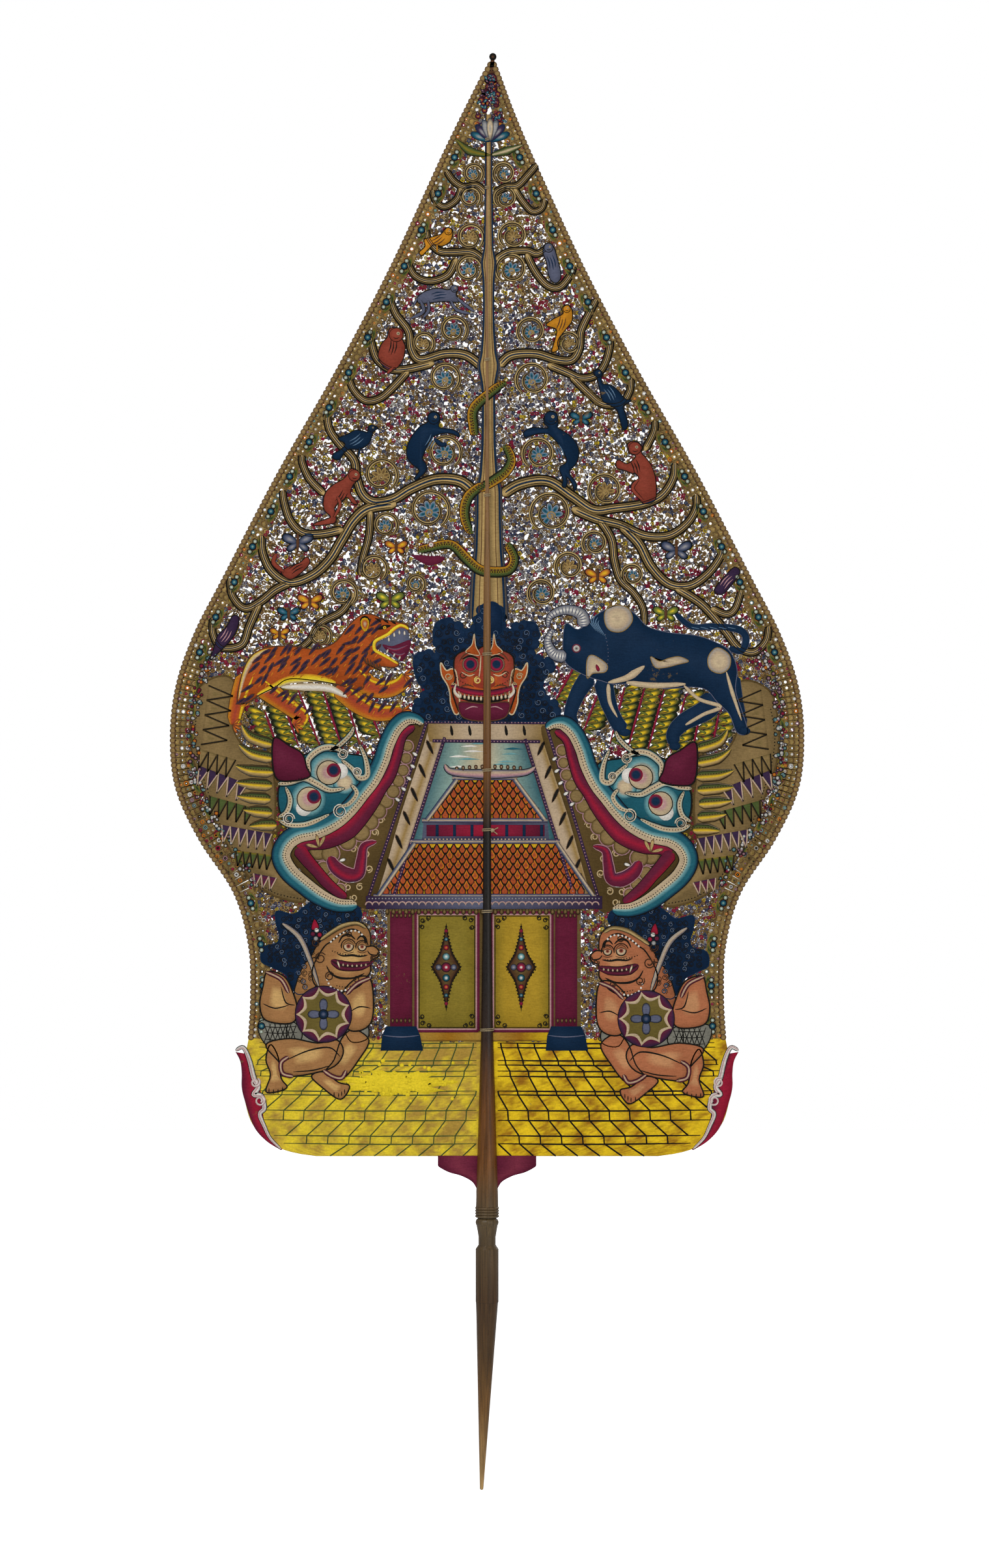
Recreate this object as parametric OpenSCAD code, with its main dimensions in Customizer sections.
// Leaf-shaped shadow puppet: a pierced and painted hide, slipped into the split
// of a horn rod and sewn to it with thread ties.
// Millimetres. The origin is the middle of the straight grip, Z is up, and the
// painted front faces -Y.

/* [Hide] */
// Height of the hide from its lower edge to the neck of the tip knob
hide_h = 723; // [620:1:820]
// Greatest width of the hide
hide_w = 418; // [360:1:470]
// Thickness of the hide
hide_t = 1.2; // [0.8:0.1:2]
// Sideways lean of the tip
tip_lean = 3.5; // [0:0.5:6]
// Radius of the knob on the tip
knob_r = 2.4; // [2:0.1:4]

/* [Openwork] */
// Distance between two holes of the lace
lace_pitch = 9.2; // [8.4:0.2:14]
// Radius of the larger lace hole
lace_r = 2.9; // [1.8:0.1:3.2]
// Radius of the smaller lace hole
lace_small_r = 1.9; // [1:0.1:2.4]
// Width of the punched border band
border_w = 14; // [12:0.5:18]
// Distance between two border punches
punch_pitch = 9.5; // [8:0.5:14]
// Radius of a border punch
punch_r = 1.8; // [0.9:0.1:2.4]
// Material kept between a cut and its neighbour
web = 1.1; // [0.8:0.1:2]

/* [Rod] */
// Diameter of the rod under the hide
rod_d = 14.4; // [12:0.1:15]
// Length of the rod from the collar to the lower edge of the hide
foot_l = 33; // [26:0.5:50]
// Play between the hide and each half of the split rod
split_play = 0.05; // [0:0.01:0.2]

/* [Handle] */
// Diameter of the straight grip
grip_d = 15.2; // [14:0.1:18]
// Length of the straight grip
grip_l = 35; // [30:0.5:60]
// Diameter of the waist above the grip
waist_d = 11.4; // [9:0.1:13]
// Length of the turned neck between the grip and the rod
neck_l = 28; // [24:0.5:40]
// Radius of one turned ring of the collar
ring_r = 0.9; // [0.6:0.05:1.2]
// Length of the tapered spike
spike_l = 125; // [80:1:180]
// Radius of the rounded point
point_r = 1.2; // [0.8:0.1:2]
// Sideways drift of the point
spike_drift = 3.6; // [0:0.1:5]

/* [Ties] */
// Diameter of the thread
thread_d = 0.7; // [0.5:0.05:1]
// Rise of the thread in one turn
thread_pitch = 1.15; // [1.1:0.05:1.5]
// Play between the thread and what it goes round or through
thread_play = 0.15; // [0.1:0.05:0.3]
// Length of the two cut thread tails
tail_l = 4; // [2:0.5:8]

/* [Hidden] */
$fn = 32;
// Size that the drawing below was measured at
draw_w = 418;
draw_h = 723;
kx = hide_w / draw_w;
kh = hide_h / draw_h;
hide_z = grip_l / 2 + neck_l + foot_l;
hide_col = "#8f7238";
horn_col = "#4a2f1a";
thread_col = "#d9cdb4";
turns = 2;

// Half outline of the leaf, from the neck of the knob down to the corner flame
LEAF = [
    [1.9, 723], [8, 709.5], [16.3, 690.5], [32, 656], [64, 587], [100, 518.5],
    [139, 450], [175, 381], [193, 346], [205, 312], [209, 278], [205.5, 243],
    [190, 209], [167.5, 174.5], [157.5, 140], [156, 106], [157, 84]
];
// Upper and lower edge of the corner flame, and the lower edge of the hide
FLAME = [[157, 84], [158.5, 76], [165, 70]];
BASE = [[165, 70], [160.5, 60], [162, 50], [160, 37], [154, 20], [138, 6], [112, 0], [80, 0], [32, 0]];
tab_h = 21;
// The tab that closes round the rod below the lower edge
TAB = [[32, 0], [31, -5], [25, -10], [16, -12.7], [10, -16.5], [7, -tab_h]];

// Rod radius as a part of its foot radius, at parts of the hide's height
ROD = [
    [-0.046, 1.03], [-0.032, 1], [0.021, 0.83], [0.116, 0.556], [0.224, 0.41],
    [0.353, 0.375], [0.459, 0.39], [0.521, 0.35], [0.604, 0.243], [0.728, 0.2],
    [0.885, 0.153], [0.949, 0.13]
];
rod_top = 0.949;

// Heights of the nine ties as parts of the hide's height
TIES = [0.929, 0.885, 0.728, 0.604, 0.459, 0.353, 0.298, 0.224, 0.116];

// Half width of the unpierced middle (floor, pavilion, demon head) by height
MIDDLE = [
    [0, 200], [72, 200], [74, 66], [160, 66], [163, 92], [288, 46], [345, 38], [356, 14], [372, 13],
    [440, 10], [525, 9], [590, 6], [690, 4], [700, 0]
];
// Solid figures and branches: runs of [across, height, radius], mirrored left and right
FIGURES = [
    [[4, 636, 2], [16, 640, 2], [26, 628, 2], [36, 634, 2]],
    [[4, 667, 2], [20, 668, 4]],
    [[2, 678, 8], [12, 677, 5]],
    [[4, 592, 3], [18, 597, 3], [35, 598, 2], [42, 606, 2]],
    [[20, 592, 2], [34, 578, 2], [50, 582, 2], [55, 592, 2]],
    [[34, 606, 5], [26, 608, 4]],
    [[4, 522, 4], [25, 530, 3], [45, 527, 3], [56, 545, 2], [66, 566, 2]],
    [[45, 524, 3], [62, 519, 2], [74, 525, 2], [78, 542, 2]],
    [[57, 516, 2], [70, 502, 2], [85, 500, 2], [92, 514, 2]],
    [[62, 543, 5], [64, 528, 8]],
    [[6, 438, 5], [35, 447, 4], [60, 438, 4], [80, 432, 3], [92, 460, 2], [105, 484, 2]],
    [[80, 430, 3], [98, 415, 3], [115, 411, 2], [130, 420, 2], [134, 438, 2]],
    [[98, 412, 3], [105, 392, 3], [126, 378, 3], [145, 388, 2], [149, 408, 2]],
    [[126, 377, 3], [146, 370, 3], [158, 362, 2], [166, 378, 2]],
    [[78, 416, 2], [83, 395, 2], [86, 376, 2]],
    [[72, 473, 2], [82, 475, 6], [96, 472, 3]],
    [[34, 485, 5], [46, 470, 9], [48, 452, 4]],
    [[96, 449, 4], [102, 438, 9], [104, 420, 4]],
    [[112, 404, 6], [128, 405, 6]],
    [[58, 335, 8], [80, 348, 14], [105, 328, 18], [140, 324, 17], [162, 306, 8]],
    [[70, 308, 5], [62, 292, 4]],
    [[72, 284, 17], [140, 284, 17]],
    [[48, 284, 5], [56, 262, 9], [86, 208, 12]],
    [[76, 252, 12], [105, 246, 20], [118, 222, 22], [108, 192, 24], [92, 174, 14]],
    [[182, 308, 12], [176, 276, 16], [160, 240, 26], [150, 200, 20], [142, 180, 14]],
    [[88, 138, 24], [112, 112, 30], [100, 76, 30], [130, 128, 22], [142, 96, 18]]
];
// Scroll medallions, each [across, height, radius]
MEDALS = [
    [10, 649, 6.5], [9, 634, 6], [11, 607, 8], [13, 586, 8.5], [21, 546, 9], [47, 536, 8], [28, 513, 11],
    [28, 466, 10.5], [72, 450, 11.5], [42, 425, 13], [68, 414, 10], [75, 388, 9], [52, 389, 9], [97, 373, 9]
];
petals = 5;
// Distance of a petal from the middle of its medallion and its radius, as parts of the medallion's radius
petal_reach = 0.55;
petal_part = 0.25;
// Rows of toothed windows in the wing: [across, height, tilt, teeth, width of a tooth]
WING = [
    [172, 296, 62, 4, 8], [160, 257, -24, 4, 8], [156, 236, -10, 4, 8], [150, 211, -4, 4, 8],
    [146, 194, -4, 4, 7], [140, 178, -8, 2, 7]
];
tooth_l = 11;
// Feather bundle: leaf-shaped cuts in slanted rows
feather_rows = 5;
feather_cuts = 4;
feather_step = [15.5, 8.2];
feather_slant = 4;
feather_at = [76, 271];
feather_tilt = -20;
// A feather is the overlap of two circles, each moved off its middle line
leaf_r = 6.4;
leaf_off = 4.4;
// Gaps between the teeth of the sea beast's jaw
JAW = [[57, 262], [86, 208]];
jaw_gaps = 8;
jaw_gap_r = 1.5;
// Top of the painted floor, and how far the lace reaches above it
floor_h = 76;
lace_rise = 620;
// Rise from one row of a close-set pattern to the next, as a part of its pitch
row_part = sqrt(3) / 2;
// Place of the punches across the border band
punch_part = 0.45;
// Height at which the tip starts to lean, as a part of the hide's height
lean_from = 0.9;
// Part of the knob's radius by which it stands over the tip
knob_part = 0.75;
// Length of the first punch-free run at the tip, in punches
tip_punches = 4;

// Points on a smooth curve through the given ones
function smooth(p, n = 6) = concat(
    [for (i = [0 : len(p) - 2], k = [0 : n - 1])
        let (a = p[max(i - 1, 0)], b = p[i], c = p[i + 1], d = p[min(i + 2, len(p) - 1)], t = k / n)
        b + t * ((c - a) / 2 + t * ((a - 2.5 * b + 2 * c - 0.5 * d) + t * (1.5 * (b - c) + (d - a) / 2)))],
    [p[len(p) - 1]]);
// Length along a run of points, up to each of them
function steps(p) = [
    for (i = 0, s = 0; i < len(p); s = s + (i < len(p) - 1 ? norm(p[i + 1] - p[i]) : 0), i = i + 1) s
];
function part_of(p, s, axis) = [for (i = [0 : len(p) - 1]) [s[i], p[i][axis]]];
function at_step(s, across, up) = [lookup(s, across), lookup(s, up)];
// Points along the leaf edge at equal steps, each moved outward by reach
function leaf_edge(n, reach) =
    let (p = smooth(LEAF), s = steps(p), across = part_of(p, s, 0), up = part_of(p, s, 1), l = s[len(s) - 1])
    [for (k = [0 : n])
        let (q = at_step(l * k / n, across, up),
            ahead = at_step(min(l, l * (k + 0.5) / n), across, up),
            behind = at_step(max(0, l * (k - 0.5) / n), across, up),
            d = ahead - behind)
        q + reach * [-d[1], d[0]] / norm(d)];
leaf_l_all = let (s = steps(smooth(LEAF))) s[len(s) - 1];
function lean(p) = [p[0] + tip_lean * pow(max(0, p[1] / draw_h - lean_from) / (1 - lean_from), 2), p[1]];
function laid(p) = [lean(p)[0] * kx, p[1] * kh];
function flip(p) = [-p[0], p[1]];
function turned_back(p) = [for (i = [len(p) - 1 : -1 : 0]) p[i]];

// Free distance from a point to a run of solid blobs
function gap_one(p, a, b) =
    let (d = [b[0] - a[0], b[1] - a[1]], q = [p[0] - a[0], p[1] - a[1]], t = max(0, min(1, q * d / (d * d))))
    norm(q - t * d) - a[2] - (b[2] - a[2]) * t;
function gap_run(p, run) = min([for (i = [0 : len(run) - 2]) gap_one(p, run[i], run[i + 1])]);
function gap_all(p) = min(concat(
    [for (run = FIGURES) gap_run(p, run)],
    [for (m = MEDALS) norm(p - [m[0], m[1]]) - m[2]],
    [p[0] - lookup(p[1], MIDDLE)],
    [lookup(p[1], LEAF_HALF) - border_w - p[0]]));
LEAF_HALF = [for (p = smooth(LEAF)) [p[1], p[0]]];

function rod_r(part) = rod_d / 2 * lookup(part, ROD);
function tie_r(part) = rod_r(part) + thread_play + thread_d / 2;
tie_hole_r = (turns + 1) / 4 * thread_pitch + thread_d / 2 + thread_play;

module both_sides() {
    children();
    mirror([1, 0]) children();
}

module leaf_sheet() {
    half = concat(smooth(LEAF), smooth(FLAME), smooth(BASE), smooth(TAB));
    polygon([for (p = concat([for (p = half) flip(p)], turned_back(half))) laid(p)]);
    translate(laid([0, draw_h]) + [0, knob_r * knob_part]) circle(knob_r);
}

module border_punches() {
    n = round(leaf_l_all / punch_pitch);
    edge = leaf_edge(n, -border_w * punch_part);
    both_sides()
        for (k = [tip_punches : n - 1]) translate(laid(edge[k])) circle(punch_r);
}

module lace() {
    row_h = lace_pitch * row_part;
    both_sides()
        for (row = [0 : floor(lace_rise / row_h)], col = [0 : floor(draw_w / 2 / lace_pitch)])
            let (
                p = [(col + (row % 2) / 2) * lace_pitch, floor_h + row * row_h],
                r = (row + col) % 3 == 0 ? lace_small_r : lace_r
            )
                if (gap_all(p) > r + web / 2) translate(laid(p)) circle(r);
}

module rosettes() {
    both_sides()
        for (m = MEDALS)
            for (k = [0 : petals - 1])
                translate(laid(m)) rotate(360 * k / petals) translate([m[2] * petal_reach, 0])
                    circle(m[2] * petal_part);
}

module wing_windows() {
    both_sides()
        for (w = WING, k = [0 : w[3] - 1])
            translate(laid(w)) rotate(w[2]) translate([(k - w[3] / 2) * (w[4] + web), 0])
                polygon([[0, 0], [w[4], 0], [w[4] / 2, -tooth_l]]);
}

module feathers() {
    both_sides()
        for (row = [0 : feather_rows - 1], k = [0 : feather_cuts - 1])
            translate(laid(feather_at + [row * feather_step[0] - k * feather_slant, k * feather_step[1]]))
                rotate(feather_tilt) intersection() {
                    translate([0, leaf_off]) circle(leaf_r);
                    translate([0, -leaf_off]) circle(leaf_r);
                }
}

module jaw_gaps_cut() {
    both_sides()
        for (k = [0 : jaw_gaps - 1])
            translate(laid(JAW[0] + (JAW[1] - JAW[0]) * k / (jaw_gaps - 1))) circle(jaw_gap_r);
}

module tie_holes() {
    for (part = TIES, side = [-1, 1])
        translate([side * tie_r(part), part * hide_h]) circle(tie_hole_r);
}

module hide_panel() {
    color(hide_col)
        translate([0, hide_t / 2, hide_z]) rotate([90, 0, 0])
            linear_extrude(hide_t)
                difference() {
                    leaf_sheet();
                    border_punches();
                    lace();
                    rosettes();
                    wing_windows();
                    feathers();
                    jaw_gaps_cut();
                    tie_holes();
                }
}

module ring(r, z, thick) {
    translate([0, 0, z]) rotate_extrude() translate([r, 0]) circle(thick);
}

module turned_neck() {
    rings = 4;
    bead_part = 0.115;
    shoulder_part = 0.1;
    bead_sunk = 0.4;
    step_in = 0.1;
    bead_r = neck_l * bead_part;
    shoulder_h = neck_l * shoulder_part;
    collar_r = rod_d / 2 - step_in;
    collar_h = 2 * ring_r * rings;
    translate([0, 0, grip_l / 2]) {
        cylinder(h = neck_l, d = waist_d);
        cylinder(h = shoulder_h, d1 = grip_d, d2 = waist_d);
        translate([0, 0, neck_l - collar_h]) cylinder(h = collar_h, r = collar_r);
        for (k = [0 : rings - 1]) ring(collar_r - step_in, neck_l - collar_h + ring_r * (2 * k + 1), ring_r);
        ring(waist_d / 2 - bead_r * bead_sunk, neck_l - collar_h - bead_r, bead_r);
        translate([0, 0, neck_l - collar_h - 4 * bead_r])
            cylinder(h = 3 * bead_r, d1 = waist_d, d2 = waist_d + bead_r);
    }
}

module spike() {
    tilt = atan(spike_drift / spike_l);
    seat = 2;
    shoulder = 0.15;
    translate([0, 0, seat - grip_l / 2]) rotate([180, tilt, 0]) {
        cylinder(h = spike_l, r1 = grip_d / 2 - shoulder, r2 = point_r);
        translate([0, 0, spike_l]) sphere(point_r);
    }
}

module split_rod() {
    slit_foot = hide_z - tab_h * kh - split_play;
    color(horn_col)
        difference() {
            union() {
                translate([0, 0, hide_z]) rotate_extrude()
                    polygon(concat(
                        [[0, -foot_l]],
                        [[rod_d / 2 * ROD[0][1], -foot_l]],
                        [for (k = [1 : len(ROD) - 1]) [rod_d / 2 * ROD[k][1], ROD[k][0] * hide_h]],
                        [[0, rod_top * hide_h]]));
                turned_neck();
                translate([0, 0, -grip_l / 2]) cylinder(h = grip_l, d = grip_d);
                spike();
            }
            translate([-rod_d, -hide_t / 2 - split_play, slit_foot])
                cube([2 * rod_d, hide_t + 2 * split_play, hide_h]);
        }
}

// Thread wound round the rod: six-sided tube on a rising circle
module winding(r) {
    per_turn = 20;
    n = turns * per_turn;
    sides = 6;
    points = [for (i = [0 : n], k = [0 : sides - 1])
        let (a = 360 * i / per_turn, b = 360 * k / sides, reach = r + thread_d / 2 * cos(b))
        [reach * cos(a), reach * sin(a), thread_pitch * (i / per_turn - turns / 2) + thread_d / 2 * sin(b)]];
    skin = [for (i = [0 : n - 1], k = [0 : sides - 1])
        let (next = (k + 1) % sides)
        [i * sides + k, i * sides + next, (i + 1) * sides + next, (i + 1) * sides + k]];
    polyhedron(points, concat(
        skin,
        [[for (k = [sides - 1 : -1 : 0]) k]],
        [[for (k = [0 : sides - 1]) n * sides + k]]));
}

// A straight thread end from the origin to v
module thread_end(v) {
    rotate([0, acos(v[2] / norm(v)), atan2(v[1], v[0])]) cylinder(h = norm(v), d = thread_d);
}

// One tie; knot_turn is where its knot lies, counted from the right-hand side
module tie(part, knot_turn, tails) {
    r = tie_r(part);
    knot_r = thread_pitch + thread_d / 4;
    knot = (r + knot_r - thread_d / 2) * [cos(knot_turn), sin(knot_turn), 0];
    // The tails run down onto the front of the hide
    drop = -knot[1] - hide_t / 2 - thread_d / 2 - thread_play;
    color(thread_col)
        translate([0, 0, hide_z + part * hide_h]) {
            rotate([0, 0, knot_turn]) winding(r);
            translate(knot) {
                sphere(knot_r);
                if (tails)
                    for (lift = [-40, 25]) thread_end([tail_l * cos(lift), drop, tail_l * sin(lift)]);
            }
        }
}

module tie_bud() { tie(TIES[0], 90, false); }
module tie_crown() { tie(TIES[1], 90, false); }
module tie_high_fork() { tie(TIES[2], 90, false); }
module tie_low_fork() { tie(TIES[3], 90, false); }
module tie_brow() { tie(TIES[4], 90, false); }
module tie_ridge() { tie(TIES[5], 90, false); }
module tie_knotted() { tie(TIES[6], -32, true); }
module tie_eaves() { tie(TIES[7], 90, false); }
module tie_sill() { tie(TIES[8], 90, false); }

hide_panel();
split_rod();
tie_bud();
tie_crown();
tie_high_fork();
tie_low_fork();
tie_brow();
tie_ridge();
tie_knotted();
tie_eaves();
tie_sill();
